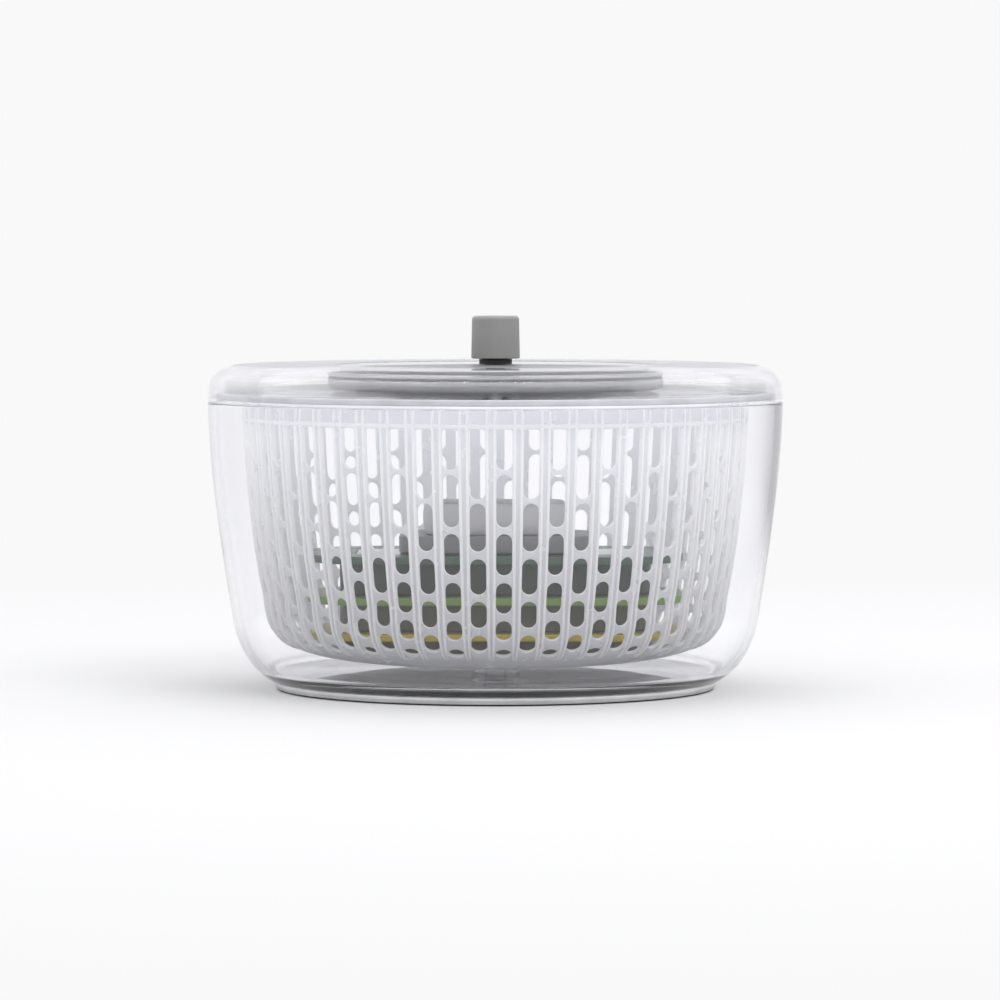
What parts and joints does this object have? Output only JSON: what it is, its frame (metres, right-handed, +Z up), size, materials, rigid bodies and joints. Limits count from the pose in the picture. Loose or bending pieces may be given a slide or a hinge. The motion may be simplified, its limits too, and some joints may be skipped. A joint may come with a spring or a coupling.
{
  "type": "salad spinner",
  "caption": "Round clear bowl with a slotted spinning basket, a crank-driven lid with a knob, and cutting attachments with a food holder stored inside the basket.",
  "frame": {"origin": "on the table under the middle of the bowl", "axes": "+Z up along the spin axis; +Y from the axis towards the knob as stored; +X along the length of the stored attachments"},
  "size_m": [0.24, 0.24, 0.155],
  "materials": {
    "clear_plastic": "clear, polished",
    "frosted_plastic": "translucent, satin",
    "grey_rubber": "matt",
    "grey_plastic": "fine matt",
    "pale_grey_plastic": "satin",
    "dark_plastic": "matt",
    "white_plastic": "smooth, low gloss",
    "mustard_plastic": "satin",
    "olive_plastic": "satin",
    "green_plastic": "satin",
    "seal_silicone": "translucent, matt",
    "blade_steel": "brushed"
  },
  "bodies": {
    "bowl": {"bowl_shell": "clear_plastic", "non_slip_base": "grey_rubber", "pivot_pin": "clear_plastic"},
    "lid": {"lid_cover": "clear_plastic", "lid_bottom_plate": "clear_plastic", "lid_seal": "seal_silicone", "gear_housing": "pale_grey_plastic", "idler_pin_1": "blade_steel", "idler_pin_2": "blade_steel", "idler_pin_3": "blade_steel", "lid_screw_1": "blade_steel", "lid_screw_2": "blade_steel", "lid_screw_3": "blade_steel"},
    "crank": {"crank_disc": "grey_plastic", "ring_gear": "white_plastic", "knob_post": "dark_plastic"},
    "knob": {"knob": "grey_plastic"},
    "idler_1": {"idler_gear_1": "white_plastic"},
    "idler_2": {"idler_gear_2": "white_plastic"},
    "idler_3": {"idler_gear_3": "white_plastic"},
    "drive": {"drive_shaft": "grey_plastic", "sun_pinion": "white_plastic", "drive_plate": "frosted_plastic", "drive_screw": "blade_steel"},
    "bush": {"basket_bush": "clear_plastic"},
    "basket": {"basket": "frosted_plastic"},
    "julienne_cutter": {"julienne_frame": "mustard_plastic", "julienne_blade": "blade_steel"},
    "grater": {"grater_frame": "olive_plastic", "grater_plate": "blade_steel"},
    "slicer": {"slicer_frame": "green_plastic", "slicer_blade": "blade_steel"},
    "pusher": {"pusher_base": "pale_grey_plastic", "pusher_grip": "pale_grey_plastic"}
  },
  "joints": [
    {"name": "lid_lift", "type": "slide", "parent": "bowl", "child": "lid", "axis": [0, 0, 1], "range_m": [0, 0.36]},
    {"name": "crank_spin", "type": "hinge", "parent": "lid", "child": "crank", "pos_m": [0, 0, 0.133], "axis": [0, 0, 1], "continuous": true},
    {"name": "knob_spin", "type": "hinge", "parent": "crank", "child": "knob", "pos_m": [0, 0.053, 0.145], "axis": [0, 0, 1], "continuous": true},
    {"name": "idler_1_spin", "type": "hinge", "parent": "lid", "child": "idler_1", "pos_m": [0, 0.036, 0.129], "axis": [0, 0, 1], "continuous": true},
    {"name": "idler_2_spin", "type": "hinge", "parent": "lid", "child": "idler_2", "pos_m": [-0.03118, -0.018, 0.129], "axis": [0, 0, 1], "continuous": true},
    {"name": "idler_3_spin", "type": "hinge", "parent": "lid", "child": "idler_3", "pos_m": [0.03118, -0.018, 0.129], "axis": [0, 0, 1], "continuous": true},
    {"name": "drive_spin", "type": "hinge", "parent": "lid", "child": "drive", "pos_m": [0, 0, 0.125], "axis": [0, 0, 1], "continuous": true},
    {"name": "basket_spin", "type": "hinge", "parent": "bowl", "child": "bush", "pos_m": [0, 0, 0.012], "axis": [0, 0, 1], "continuous": true},
    {"name": "basket_lift", "type": "slide", "parent": "bush", "child": "basket", "axis": [0, 0, 1], "range_m": [0, 0.12]},
    {"name": "julienne_lift", "type": "slide", "parent": "basket", "child": "julienne_cutter", "axis": [0, 0, 1], "range_m": [0, 0.108]},
    {"name": "grater_lift", "type": "slide", "parent": "julienne_cutter", "child": "grater", "axis": [0, 0, 1], "range_m": [0, 0.018]},
    {"name": "slicer_lift", "type": "slide", "parent": "grater", "child": "slicer", "axis": [0, 0, 1], "range_m": [0, 0.018]},
    {"name": "pusher_lift", "type": "slide", "parent": "slicer", "child": "pusher", "axis": [0, 0, 1], "range_m": [0, 0.027]}
  ],
  "couplings": [
    {"joint": "idler_1_spin", "follows": "crank_spin", "ratio": 3},
    {"joint": "idler_2_spin", "follows": "crank_spin", "ratio": 3},
    {"joint": "idler_3_spin", "follows": "crank_spin", "ratio": 3},
    {"joint": "drive_spin", "follows": "crank_spin", "ratio": -3},
    {"joint": "basket_spin", "follows": "crank_spin", "ratio": -3},
    {"joint": "basket_lift", "follows": "lid_lift", "ratio": 0.33333},
    {"joint": "julienne_lift", "follows": "lid_lift", "ratio": 0.3},
    {"joint": "grater_lift", "follows": "lid_lift", "ratio": 0.05},
    {"joint": "slicer_lift", "follows": "lid_lift", "ratio": 0.05},
    {"joint": "pusher_lift", "follows": "lid_lift", "ratio": 0.075}
  ]
}
